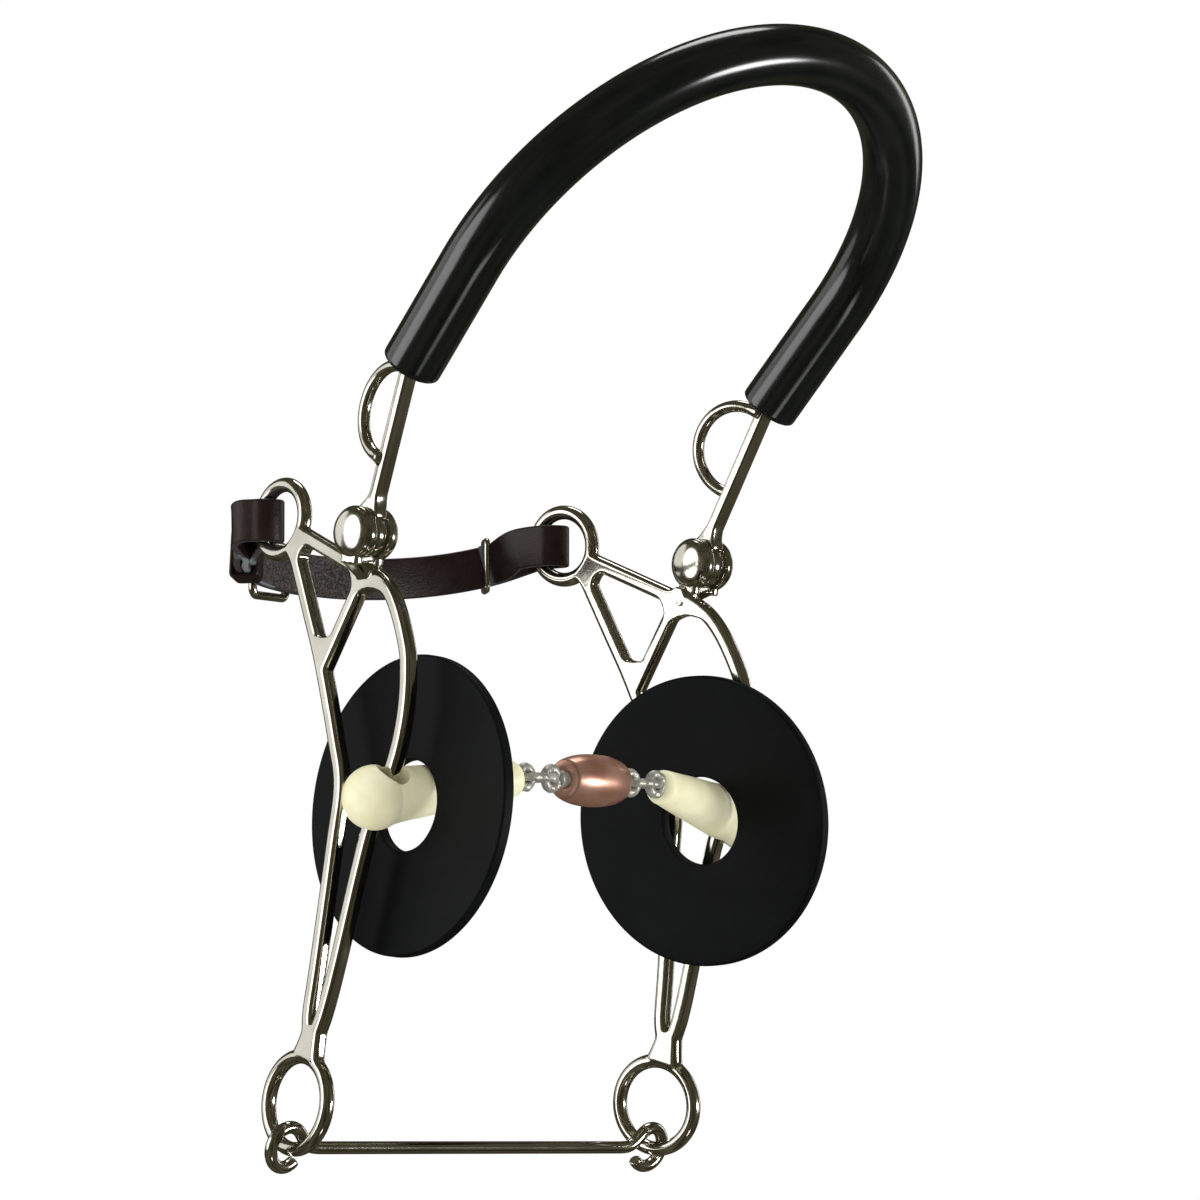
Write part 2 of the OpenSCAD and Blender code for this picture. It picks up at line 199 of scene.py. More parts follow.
FLOOR_TONES = (0.86, 0.86, 0.85), (0.9, 0.9, 0.9)
# Pale bluish grey mixed into the strap: a little on its paler cut ends and edges, and almost in full as a
# painted highlight on its edges behind the left-hand ring.
CUT_EDGE_AND_HIGHLIGHT = (0.20, 0.22, 0.24)


def new_material(name, roughness, metallic=0.0):
    """A node material, and its nodes, links and main shader."""
    material = bpy.data.materials.new(name)
    material.use_nodes = True
    nodes, links = material.node_tree.nodes, material.node_tree.links
    shader = nodes["Principled BSDF"]
    shader.inputs["Roughness"].default_value = roughness
    shader.inputs["Metallic"].default_value = metallic
    return material, nodes, links, shader


def texture(nodes, links, kind, scale, stretch=(1, 1, 1), **inputs):
    """A procedural texture in object space. Scale is in repeats per metre."""
    place = nodes.new("ShaderNodeTexCoord")
    mapping = nodes.new("ShaderNodeMapping")
    mapping.inputs["Scale"].default_value = stretch
    node = nodes.new(kind)
    node.inputs["Scale"].default_value = scale
    for key, value in inputs.items():
        node.inputs[key.replace("_", " ").title()].default_value = value
    links.new(place.outputs["Object"], mapping.inputs["Vector"])
    links.new(mapping.outputs["Vector"], node.inputs["Vector"])
    return node


def colour_ramp(nodes, links, factor, low, high, start, end):
    """A ramp from low to high as the factor goes from start to end."""
    ramp = nodes.new("ShaderNodeValToRGB")
    ramp.color_ramp.elements[0].position = start
    ramp.color_ramp.elements[0].color = (*low, 1)
    ramp.color_ramp.elements[1].position = end
    ramp.color_ramp.elements[1].color = (*high, 1)
    links.new(factor, ramp.inputs["Fac"])
    return ramp


def colour_between(nodes, links, shader, factor, low, high, start=0.35, end=0.65):
    """Colours the shader from low to high as the factor goes from start to end."""
    ramp = colour_ramp(nodes, links, factor, low, high, start, end)
    links.new(ramp.outputs["Color"], shader.inputs["Base Color"])


def roughness_between(nodes, links, shader, factor, low, high):
    """Varies the roughness from low to high with the factor."""
    span = nodes.new("ShaderNodeMapRange")
    span.inputs["To Min"].default_value = low
    span.inputs["To Max"].default_value = high
    links.new(factor, span.inputs["Value"])
    links.new(span.outputs["Result"], shader.inputs["Roughness"])


def bump(nodes, links, shader, heights, distance):
    """Adds bumps from (height, strength) pairs, each of that depth in millimetres."""
    last = None
    for height, strength in heights:
        node = nodes.new("ShaderNodeBump")
        node.inputs["Strength"].default_value = strength
        node.inputs["Distance"].default_value = distance * MM
        links.new(height, node.inputs["Height"])
        if last:
            links.new(last.outputs["Normal"], node.inputs["Normal"])
        last = node
    links.new(last.outputs["Normal"], shader.inputs["Normal"])


def steel_material():
    """Polished nickel-toned steel with faint hand-polishing waves."""
    material, nodes, links, shader = new_material("polished_steel", 0.13, 1.0)
    tone = texture(nodes, links, "ShaderNodeTexNoise", 60, detail=4.0)
    colour_between(nodes, links, shader, tone.outputs["Fac"], *STEEL_TONES)
    roughness_between(nodes, links, shader, tone.outputs["Fac"], 0.08, 0.2)
    waves = texture(nodes, links, "ShaderNodeTexNoise", 140, detail=2.0)
    pits = texture(nodes, links, "ShaderNodeTexNoise", 1400, detail=3.0)
    bump(nodes, links, shader, [(waves.outputs["Fac"], 0.25), (pits.outputs["Fac"], 0.03)], 0.25)
    return material


def cast_material(name, low, high, rough, metallic):
    """Grey unpolished steel with a sandy cast skin, brighter where it rubs."""
    material, nodes, links, shader = new_material(name, rough, metallic)
    tone = texture(nodes, links, "ShaderNodeTexNoise", 350, detail=6.0)
    colour_between(nodes, links, shader, tone.outputs["Fac"], low, high)
    roughness_between(nodes, links, shader, tone.outputs["Fac"], rough - 0.12, rough + 0.12)
    lumps = texture(nodes, links, "ShaderNodeTexNoise", 600, detail=5.0)
    grit = texture(nodes, links, "ShaderNodeTexVoronoi", 2200)
    bump(nodes, links, shader, [(lumps.outputs["Fac"], 0.6), (grit.outputs["Distance"], 0.25)], 0.25)
    return material


def rubber_material(name, tone_low, tone_high, rough_low, rough_high, grain, shine):
    """Black rubber with a moulded skin, dusty in places."""
    material, nodes, links, shader = new_material(name, rough_low)
    shader.inputs["Specular IOR Level"].default_value = shine
    dust = texture(nodes, links, "ShaderNodeTexNoise", 45, detail=8.0, roughness=0.65)
    colour_between(nodes, links, shader, dust.outputs["Fac"], tone_low, tone_high, 0.4, 0.75)
    roughness_between(nodes, links, shader, dust.outputs["Fac"], rough_low, rough_high)
    skin = texture(nodes, links, "ShaderNodeTexNoise", 1800, detail=3.0)
    soft = texture(nodes, links, "ShaderNodeTexNoise", 90, detail=1.0)
    bump(nodes, links, shader, [(skin.outputs["Fac"], grain), (soft.outputs["Fac"], 0.3)], 0.15)
    return material


def ivory_material():
    """Hard cream plastic, slightly see-through at its skin, with a faint mottle."""
    material, nodes, links, shader = new_material("ivory", 0.36)
    tone = texture(nodes, links, "ShaderNodeTexNoise", 110, detail=5.0)
    colour_between(nodes, links, shader, tone.outputs["Fac"], *IVORY_TONES)
    roughness_between(nodes, links, shader, tone.outputs["Fac"], 0.3, 0.44)
    shader.inputs["Subsurface Weight"].default_value = 0.25
    shader.inputs["Subsurface Radius"].default_value = (1.0, 0.9, 0.55)
    shader.inputs["Subsurface Scale"].default_value = 1.6 * MM
    pores = texture(nodes, links, "ShaderNodeTexNoise", 1100, detail=4.0)
    dents = texture(nodes, links, "ShaderNodeTexNoise", 160, detail=1.0)
    bump(nodes, links, shader, [(pores.outputs["Fac"], 0.12), (dents.outputs["Fac"], 0.3)], 0.2)
    return material


def copper_material():
    """Turned copper with fine rings round the roller and duller patches."""
    material, nodes, links, shader = new_material("copper", 0.3, 0.85)
    tone = texture(nodes, links, "ShaderNodeTexNoise", 120, detail=5.0)
    colour_between(nodes, links, shader, tone.outputs["Fac"], *COPPER_TONES)
    roughness_between(nodes, links, shader, tone.outputs["Fac"], 0.22, 0.42)
    rings = texture(nodes, links, "ShaderNodeTexNoise", 900, stretch=(1, 0.04, 0.04), detail=4.0)
    wear = texture(nodes, links, "ShaderNodeTexNoise", 500, detail=3.0)
    bump(nodes, links, shader, [(rings.outputs["Fac"], 0.25), (wear.outputs["Fac"], 0.08)], 0.15)
    return material


def leather_material(name, low, high, rough, grain):
    """Leather with cell grain and fine creases. The attribute "cut" mixes in a pale tone: its paler cut
    edges, and a painted highlight on some edges.
    """
    material, nodes, links, shader = new_material(name, rough)
    shader.inputs["Specular IOR Level"].default_value = 0.3
    tone = texture(nodes, links, "ShaderNodeTexNoise", 130, detail=7.0, roughness=0.6)
    ramp = colour_ramp(nodes, links, tone.outputs["Fac"], low, high, 0.3, 0.75)
    # Pale edge tone: paler cut leather where the attribute is low, painted highlight where it is highest.
    cut = nodes.new("ShaderNodeAttribute")
    cut.attribute_name = "cut"
    mix = nodes.new("ShaderNodeMix")
    mix.data_type = "RGBA"
    mix.inputs["B"].default_value = (*CUT_EDGE_AND_HIGHLIGHT, 1)
    links.new(cut.outputs["Fac"], mix.inputs["Factor"])
    links.new(ramp.outputs["Color"], mix.inputs["A"])
    links.new(mix.outputs["Result"], shader.inputs["Base Color"])
    roughness_between(nodes, links, shader, tone.outputs["Fac"], rough - 0.08, rough + 0.14)
    cells = texture(nodes, links, "ShaderNodeTexVoronoi", 1500)
    creases = texture(nodes, links, "ShaderNodeTexNoise", 500, detail=5.0)
    bump(nodes, links, shader, [(cells.outputs["Distance"], grain), (creases.outputs["Fac"], grain)], 0.2)
    return material


def flesh_material():
    """The rough speckled inner side of the leather."""
    material, nodes, links, shader = new_material("leather_flesh", 0.8)
    fibres = texture(nodes, links, "ShaderNodeTexNoise", 1500, detail=4.0)
    colour_between(nodes, links, shader, fibres.outputs["Fac"], *FLESH_TONES, 0.42, 0.72)
    roughness_between(nodes, links, shader, fibres.outputs["Fac"], 0.65, 0.9)
    bump(nodes, links, shader, [(fibres.outputs["Fac"], 0.8)], 0.25)
    return material


STEEL = steel_material()
CORE = cast_material("core_steel", *CORE_TONES, rough=0.35, metallic=1.0)
CAST = cast_material("cast_links", *CAST_TONES, rough=0.36, metallic=0.6)
TUBE_RUBBER = rubber_material(
    "tube_rubber", *TUBE_TONES, rough_low=0.13, rough_high=0.22, grain=0.03, shine=0.9
)
GUARD_RUBBER = rubber_material(
    "guard_rubber", *GUARD_TONES, rough_low=0.5, rough_high=0.65, grain=0.12, shine=0.14
)
IVORY = ivory_material()
COPPER = copper_material()
LEATHER = leather_material("leather", *LEATHER_TONES, rough=0.36, grain=0.25)
FLESH = flesh_material()
BURNISHED = leather_material("leather_loop", *BURNISHED_TONES, rough=0.26, grain=0.12)


# ---- mesh helpers ----


def make(name, vertices, faces, material, cut=None):
    """A smooth-shaded object from vertices in millimetres."""
    mesh = bpy.data.meshes.new(name)
    mesh.from_pydata([tuple(Vector(v) * MM) for v in vertices], [], faces)
    build = bmesh.new()
    build.from_mesh(mesh)
    bmesh.ops.recalc_face_normals(build, faces=build.faces)
    build.to_mesh(mesh)
    build.free()
    if cut is not None:
        attribute = mesh.attributes.new("cut", "FLOAT", "POINT")
        attribute.data.foreach_set("value", cut)
    mesh.shade_smooth()
    obj = bpy.data.objects.new(name, mesh)
    bpy.context.collection.objects.link(obj)
    mesh.materials.append(material)
    return obj


def finished(obj, body, *nodes, slot):
    """Rides the object on its body, in place of any CAD nodes given. The slot is not used."""
    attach(obj, body)
    if nodes:
        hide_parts(*nodes)


def round_profile(radius, count):
    """A circle as (u, v) pairs."""
    turns = [2 * math.pi * i / count for i in range(count)]
    return [(radius * math.cos(a), radius * math.sin(a)) for a in turns]


def box_profile(width, height, corner, per_corner=5):
    """A rectangle with rounded corners, as (u, v) pairs."""
    points = []
    for k, (sx, sy) in enumerate([(1, 1), (-1, 1), (-1, -1), (1, -1)]):
        u = sx * (width / 2 - corner)
        v = sy * (height / 2 - corner)
        for i in range(per_corner + 1):
            a = math.pi / 2 * (k + i / per_corner)
            points.append((u + corner * math.cos(a), v + corner * math.sin(a)))
    return points


def sweep(path, profile, side, closed=False, scales=None, rounded=0.0, facing=None):
    """A profile carried along a path, with u running to the side given.

    scales holds a (u, v) scale for each point. rounded is the radius of the ends' edges.
    The sections face along the path unless facing gives them all one direction.
    """
    path = [Vector(p) for p in path]
    scales = scales or [(1, 1)] * len(path)
    reach = max(abs(u) for u, v in profile)
    if rounded:
        path, scales = rounded_ends(path, scales, rounded, reach)
    count, n = len(path), len(profile)
    vertices = []
    for i, point in enumerate(path):
        ahead = path[(i + 1) % count] if closed or i < count - 1 else point
        behind = path[i - 1] if closed or i else point
        tangent = Vector(facing or ahead - behind).normalized()
        u_dir = (side - tangent * side.dot(tangent)).normalized()
        v_dir = tangent.cross(u_dir)
        su, sv = scales[i]
        vertices += [point + u_dir * (u * su) + v_dir * (v * sv) for u, v in profile]
    faces = []
    for i in range(count if closed else count - 1):
        a, b = i * n, (i + 1) % count * n
        faces += [(a + k, a + (k + 1) % n, b + (k + 1) % n, b + k) for k in range(n)]
    if not closed:
        faces += [tuple(range(n))[::-1], tuple(range((count - 1) * n, count * n))]
    return vertices, faces


def rounded_ends(path, scales, radius, reach):
    """Adds points at both ends of a path, where the profile draws in round the edge."""
    start, end = (path[1] - path[0]).normalized(), (path[-1] - path[-2]).normalized()
    kept = [
        (p, scale)
        for p, scale in zip(path, scales)
        if (p - path[0]).length > radius * 1.05 and (p - path[-1]).length > radius * 1.05
    ]
    head, tail = [], []
    for i in range(EDGE_STEPS):
        a = math.pi / 2 * i / EDGE_STEPS
        shift = radius * (1 - math.cos(a))
        share = 1 - radius * (1 - math.sin(a)) / reach
        head.append((path[0] + start * shift, (scales[0][0] * share, scales[0][1] * share)))
        tail.append((path[-1] - end * shift, (scales[-1][0] * share, scales[-1][1] * share)))
    points = head + kept + tail[::-1]
    return [p for p, scale in points], [scale for p, scale in points]


def smooth_path(points, step=1.0):
    """Points evenly spaced on a Catmull-Rom curve through the ones given."""
    points = [Vector(p) for p in points]
    last = len(points) - 1
    out = []
    for i in range(last):
        p1, p2 = points[i], points[i + 1]
        p0 = points[i - 1] if i else p1 * 2 - p2
        p3 = points[i + 2] if i < last - 1 else p2 * 2 - p1
        count = max(2, round((p2 - p1).length / step))
        for k in range(count):
            t = k / count
            line = 2 * p1 + (p2 - p0) * t
            bend = (2 * p0 - 5 * p1 + 4 * p2 - p3) * t**2
            twist = (3 * p1 - p0 - 3 * p2 + p3) * t**3
            out.append(0.5 * (line + bend + twist))
    return out + [points[-1]]


def straight(a, b, step=1.5):
    """Points from a to b."""
    count = max(1, round((b - a).length / step))
    return [a.lerp(b, i / count) for i in range(count + 1)]


def lathe(profile, matrix, segments=96, closed=False):
    """A profile of (radius, height) pairs turned round the matrix's Z axis."""
    n = len(profile)
    vertices = []
    for i in range(segments):
        a = 2 * math.pi * i / segments
        vertices += [matrix @ Vector((r * math.cos(a), r * math.sin(a), z)) for r, z in profile]
    faces = []
    for i in range(segments):
        p, q = i * n, (i + 1) % segments * n
        rows = range(n if closed else n - 1)
        faces += [(p + k, p + (k + 1) % n, q + (k + 1) % n, q + k) for k in rows]
    if not closed:
        faces.append(tuple(i * n for i in range(segments)))
        faces.append(tuple(i * n + n - 1 for i in range(segments)))
    return vertices, faces


def along(origin, direction):
    """Matrix that takes the Z axis to a direction, and X as near as it can to straight up."""
    z = Vector(direction).normalized()
    x = (UP - z * UP.dot(z)).normalized()
    basis = Matrix((x, z.cross(x), z)).transposed().to_4x4()
    return Matrix.Translation(origin) @ basis


def arc(centre, radius, start, end, steps):
    """(u, v) points on an arc, angles in degrees."""
    turns = [math.radians(start + (end - start) * i / steps) for i in range(steps + 1)]
    return [(centre[0] + radius * math.cos(a), centre[1] + radius * math.sin(a)) for a in turns]


def apply_modifiers(obj):
    """Replaces the object's mesh with what its modifiers make."""
    graph = bpy.context.evaluated_depsgraph_get()
    mesh = bpy.data.meshes.new_from_object(obj.evaluated_get(graph))
    obj.modifiers.clear()
    obj.data = mesh
    mesh.shade_smooth()
    return obj


def fuse(obj, voxel, rounds):
    """Gives an object one closed skin, with its edges and inner corners rounded off."""
    skin = obj.modifiers.new("skin", "REMESH")
    skin.mode = "VOXEL"
    skin.voxel_size = voxel * MM
    soften = obj.modifiers.new("soften", "SMOOTH")
    soften.factor = 0.5
    soften.iterations = rounds
    return apply_modifiers(obj)


def cad_copy(name, node, material):
    """A copy of a CAD node's mesh, with its split vertices joined."""
    mesh = frame["nodes"][node].data.copy()
    obj = bpy.data.objects.new(name, mesh)
    bpy.context.collection.objects.link(obj)
    build = bmesh.new()
    build.from_mesh(mesh)
    bmesh.ops.remove_doubles(build, verts=build.verts, dist=0.002 * MM)
    build.to_mesh(mesh)
    build.free()
    mesh.materials.clear()
    mesh.materials.append(material)
    return obj


def held_in(obj, place):
    """Holds an object's vertices in the axes of a place matrix, without moving them."""
    obj.data.transform(place.inverted())
    obj.matrix_world = place
    return obj


def roughen(obj, depth, scale, swell=0.0):
    """Moves vertices along their normals by smooth noise, in millimetres, and by the swell."""
    moves = [v.normal * (noise(v.co / MM / scale) * depth + swell) * MM for v in obj.data.vertices]
    for vertex, move in zip(obj.data.vertices, moves):
        vertex.co += move


def joined(name, parts, material):
    """One object from several (vertices, faces) pairs."""
    vertices, faces = [], []
    for v, f in parts:
        base = len(vertices)
        vertices += v
        faces += [tuple(base + i for i in face) for face in f]
    return make(name, vertices, faces, material)


# ---- noseband, arms and dees ----


def nose_place(x, y):
    """A point of the noseband's plane: x across, y forwards and up from the tube's ends."""
    rise = Vector((0, -math.cos(NOSE_TILT), math.sin(NOSE_TILT)))
    return Vector((x, NOSE_END.y, NOSE_END.z)) + rise * y


def nose_path():
    """Centre line of the noseband tube from the left end to the right."""
    arch_y = LEG_LEN * math.cos(LEG_LEAN) + ARCH_R * math.sin(LEG_LEAN)
    foot = Vector((ARCH_R * math.cos(LEG_LEAN), arch_y - ARCH_R * math.sin(LEG_LEAN)))
    end = foot + Vector((-math.sin(LEG_LEAN), -math.cos(LEG_LEAN))) * LEG_LEN
    right = [nose_place(*end.lerp(foot, i / LEG_STEPS)) for i in range(LEG_STEPS)]
    left = [Vector((-p.x, p.y, p.z)) for p in right]
    turn = math.pi + 2 * LEG_LEAN
    bow = []
    for i in range(BOW_STEPS + 1):
        a = math.pi + LEG_LEAN - turn * i / BOW_STEPS
        bow.append(nose_place(ARCH_R * math.cos(a), arch_y + ARCH_R * math.sin(a)))
    return left + bow + right[::-1]


def build_noseband():
    """Rubber tube with rounded ends. Its steel core is the CAD's."""
    normal = ACROSS.cross(nose_place(0, 1) - nose_place(0, 0))
    outer = sweep(nose_path(), round_profile(TUBE_R, 64), side=normal, rounded=0.9)
    tube = joined("noseband_rubber_tube", [outer], TUBE_RUBBER)
    finished(tube, "noseband", "noseband_tube", slot="tube_rubber")


def build_arm(side):
    """Rod with rounded edges, from the thick eye between the fork's ears up into the tube."""
    s = SIDES[side]
    foot = Vector((s * PIVOT_X, 0, 0))
    lean = Vector((-s * math.sin(LEG_LEAN), 0, 0))
    fall = (nose_place(0, 0) - nose_place(0, 1)) * math.cos(LEG_LEAN)
    leg_out = lean + fall
    end = mirrored(NOSE_END, side)
    bend = end + leg_out * 1.5
    rise = Vector((0, bend.y, bend.z)).normalized()
    knee = foot + rise * KNEE_UP
    low = [foot, foot + rise * 4, foot + rise * 8, knee]
    path = smooth_path(low + [knee.lerp(bend, 0.3), knee.lerp(bend, 0.7), bend])
    path += straight(bend, end - leg_out * IN_TUBE, 2)[1:]
    scales = []
    for p in path:
        away = abs((p - foot).length - FLARE_UP) / FLARE_UP
        scales.append((0.98, 1 + FLARE * max(0.0, 1 - away) ** 1.6))
    rod = sweep(path, box_profile(ARM_W, ARM_T, ARM_EDGE), side=ACROSS, scales=scales)
    half = EYE_T / 2
    rim = [(NEAR_AXIS, -half), (EYE_FLAT_R, -half)]
    for i in range(13):
        a = math.pi * (i / 12 - 0.5)
        rim.append((5.6 + 1.55 * math.cos(a), half * math.sin(a)))
    rim += [(EYE_FLAT_R, half), (NEAR_AXIS, half)]
    eye = lathe(rim, along(foot, ACROSS), 72)
    arm = joined(f"{side}_arm_rod", [rod, eye], STEEL)
    finished(arm, "noseband", f"{side}_arm", slot="polished_steel")


def build_dee(side):
    """Wire dee on the back of the arm."""
    s = SIDES[side]
    foot = Vector((s * PIVOT_X, 0, 0))
    line = mirrored(NOSE_END, side) - foot
    spot = foot + line * DEE_PLACE
    lean = math.atan2(-line.y, line.z)
    turn = Matrix.Translation(spot) @ Matrix.Rotation(lean, 4, "X") @ Matrix.Rotation(s * DEE_TURN, 4, "Z")
    reach = DEE_STRAIGHT + ARM_W / 2
    half = DEE_H / 2
    flat = [Vector((0, 0.4, half)), Vector((0, reach / 2, half))]
    flat += [Vector((0, reach + v, u)) for u, v in arc((0, 0), half, 0, 180, 40)]
    flat += [Vector((0, reach / 2, -half)), Vector((0, 0.4, -half))]
    weld = [(1.3, 1.3), (1.12, 1.12)]
    scales = weld + [(1, 1)] * (len(flat) - 2 * len(weld)) + weld[::-1]
    path = [turn @ p for p in flat]
    wire = sweep(path, round_profile(DEE_WIRE_R, 28), side=turn.to_3x3() @ ACROSS, scales=scales)
    dee = joined(f"{side}_dee_wire", [wire], STEEL)
    finished(dee, "noseband", f"{side}_dee", slot="polished_steel")


# ---- cheeks ----


def cheek_place(side):
    """Axes of a cheek's plane, from the guard that hangs level with it: X out of the plane, Y back."""
    out = Vector(joints[f"{side}_guard_spin"]["axis"]).normalized()
    out = out if out.x > 0 else -out
    back = UP.cross(out).normalized()
    basis = Matrix((out, back, out.cross(back))).transposed().to_4x4()
    pivot = Vector((SIDES[side] * PIVOT_X, 0, 0))
    return Matrix.Translation(pivot * MM) @ basis


def in_cheek(side, points):
    """World places of (back, up) points in the plane of a cheek."""
    axes = cheek_place(side)
    back, up = axes.col[1].to_3d(), axes.col[2].to_3d()
    return [mirrored((CHEEK_X, 0, 0), side) + back * b + up * u for b, u in points]


def cheek_bars(side):
    """The casting's bars and rings, each with its edges rounded."""
    out = cheek_place(side).col[0].to_3d()
    slide = arc(SLIDE_CENTRE, SLIDE_R, 167, 211, 6)
    front = smooth_path(in_cheek(side, FRONT_TOP + slide + FRONT_LOW))
    rear = smooth_path(in_cheek(side, [LOWER] + REAR))
    tee, vee, upper = in_cheek(side, [TEE, VEE, UPPER])
    bar = box_profile(BAR_W, BAR_W, BAR_EDGE)
    paths = (front, rear, straight(tee, vee), straight(upper, tee))
    parts = [sweep(path, bar, side=out) for path in paths]
    throat = smooth_path(in_cheek(side, THROAT), 0.8)
    last = len(throat) - 1
    flare = [(1, 1 + 0.5 * (i / last) ** 2) for i in range(last + 1)]
    parts.append(sweep(throat, box_profile(BAR_W, THROAT_W, BAR_EDGE), side=out, scales=flare))
    for centre, radius in ((CURB, CURB_R), (REIN, REIN_R)):
        circle = in_cheek(side, arc(centre, radius, 0, 360, 72)[:-1])
        parts.append(sweep(circle, round_profile(RING_WIRE_R, 28), side=out, closed=True))
    return parts


def web(side, start, corner, end, *rest):
    """Filling between two bars: its open edge curves from start to end, drawn towards the corner.

    The rest of its outline goes through the other points, or through the corner if there are none.
    """
    curve = [
        tuple((1 - t) ** 2 * a + 2 * t * (1 - t) * c + t * t * b for a, c, b in zip(start, corner, end))
        for t in [i / 10 for i in range(11)]
    ]
    out = cheek_place(side).col[0].to_3d() * (BAR_W / 2)
    flat = in_cheek(side, curve + list(rest or (corner,)))
    n = len(flat)
    faces = [tuple(range(n)), tuple(range(n, 2 * n))[::-1]]
    faces += [(i, (i + 1) % n, n + (i + 1) % n, n + i) for i in range(n)]
    return [p - out for p in flat] + [p + out for p in flat], faces


def cheek_webs(side):
    """Rounded fillings at the T junction, at the foot of the triangle and beside the curb ring."""
    return [
        web(side, (17.3, -5.4), TEE, (11.8, -22.8)),
        web(side, (12.3, -23.6), TEE, (-8.6, -19.4)),
        web(side, (15, -28), (20.9, -30.5), (26.5, -27.3), VEE),
        web(side, (27.9, -0.9), (36.5, -0.5), (34.8, -9.9), (41.6, -1.9), (36, 4.8)),
        web(side, (16.5, -5.7), (7, -9.4), (4.2, -6.8), (1.5, -7.5), (0.5, -11.4)),
    ]


def fork(side):
    """Base that widens upwards from the T junction, and a plate up to each of the fork's ears."""
    foot = Vector((SIDES[side] * PIVOT_X, 0, 0))
    low = in_cheek(side, [(4.2, -12.6)])[0]
    top = foot + Vector((0, 1.6, -8.2))
    path = [low.lerp(top, i / 10) for i in range(11)]
    scales = [(0.4 + 0.6 * (i / 10) ** 0.8, 0.7 + 0.2 * i / 10) for i in range(11)]
    base = box_profile(2 * EAR_OUT - 0.2, FORK_W, 1.4)
    parts = [sweep(path, base, side=ACROSS, scales=scales, facing=UP)]
    for way in (-1, 1):
        ear = foot + ACROSS * (way * (EAR_IN + EAR_OUT) / 2)
        plate = straight(ear + Vector((0, 1.6, -9)), ear + Vector((0, 0.3, 0)))
        parts.append(sweep(plate, box_profile(EAR_OUT - EAR_IN, FORK_W, 1.2), side=ACROSS))
    return parts


def build_cheek(side):
    """Cheek as one polished casting with filled inner corners, and the domed ears of its fork."""
    body = f"{side}_cheek"
    parts = cheek_bars(side) + cheek_webs(side) + fork(side)
    casting = joined(f"{side}_cheek_casting", parts, STEEL)
    fuse(held_in(casting, cheek_place(side)), 0.3, 11)
    finished(casting, body, body, slot="polished_steel")
    foot = Vector((SIDES[side] * PIVOT_X, 0, 0))
    inner_edge = 0.9
    outer_edge = 1.2
    dome = [(NEAR_AXIS, EAR_IN), (EAR_R - inner_edge, EAR_IN)]
    dome += arc((EAR_R - inner_edge, EAR_IN + inner_edge), inner_edge, -90, 0, 6)
    dome += arc((EAR_R - outer_edge, EAR_OUT - outer_edge), outer_edge, 0, 62, 6)
    rim_r, rim_z = dome[-1]
    for i in range(1, 12):
        a = math.pi / 2 * i / 12
        dome.append((rim_r * math.cos(a), rim_z + (EAR_OUT + DOME_H - rim_z) * math.sin(a)))
    dome.append((NEAR_AXIS, EAR_OUT + DOME_H))
    for place, way in (("outer", SIDES[side]), ("inner", -SIDES[side])):
        ear = make(f"{side}_fork_ear_{place}", *lathe(dome, along(foot, ACROSS * way)), STEEL)
        pins = [f"{side}_pivot_pin"] if place == "outer" else []
        finished(ear, body, *pins, slot="polished_steel")


# ---- mouthpiece ----


def bar_direction():
    """From the right-hand ball to its inner eye."""
    return (BAR_EYE - BALL).normalized()


def build_mouth_bar(side):
    """Ivory bar: a ball with a flared bore for the cheek, a long taper and a rounded tip."""
    flip = Matrix.Diagonal((SIDES[side], 1, 1, 1))
    place = flip @ along(BALL, bar_direction())
    profile = [(max(r, NEAR_AXIS), z) for r, z in arc((0, 0), BALL_R, -90, 27, 26)]
    knots = [profile[-1], (8.0, 9), (7.6, 15), (7.0, 24), (6.2, 35), (5.3, BAR_LEN - 3)]
    taper = smooth_path([(r, z, 0) for r, z in knots], 1.2)
    profile += [(p.x, p.y) for p in taper[1:]]
    profile += arc((2.6, BAR_LEN - 2.7), 2.7, 5, 90, 8) + [(NEAR_AXIS, BAR_LEN)]
    bar = make(f"{side}_ivory_bar", *lathe(profile, place, 96), IVORY)
    toe = math.atan2(cheek_place("right")[1][0], cheek_place("right")[0][0])
    tilt = math.sin(SLIDE_LOW)
    tangent = Vector((-math.sin(toe) * tilt, math.cos(toe) * tilt, -math.cos(SLIDE_LOW)))
    bore = [(NEAR_AXIS, -BORE_REACH)]
    for z in range(-BORE_REACH, BORE_REACH + 1):
        bore.append((BORE_R + BORE_GROWTH * max(0.0, abs(z) - BORE_STRAIGHT) ** 2, z))
    bore.append((NEAR_AXIS, BORE_REACH))
    bore_place = flip @ along(BALL + bar_direction() * BORE_SHIFT, tangent)
    cutter = make("cutter", *lathe(bore, bore_place, 64), IVORY)
    cut = bar.modifiers.new("bore", "BOOLEAN")
    cut.operation, cut.solver, cut.object = "DIFFERENCE", "EXACT", cutter
    apply_modifiers(bar)
    bpy.data.objects.remove(cutter)
    fuse(bar, 0.35, 5)
    roughen(bar, 0.08, 6)
    finished(bar, f"{side}_mouth", f"{side}_mouth_bar", slot="ivory")
    build_casting(f"{side}_eye_casting", f"{side}_bar_eye", f"{side}_mouth")


def build_casting(name, node, body):
    """A CAD node's shape, slightly swollen and with a lumpy skin."""
    casting = fuse(cad_copy(name, node, CAST), 0.2, 4)
    roughen(casting, 0.25, 1.5, 0.3)
    finished(casting, body, node, slot="cast_links")


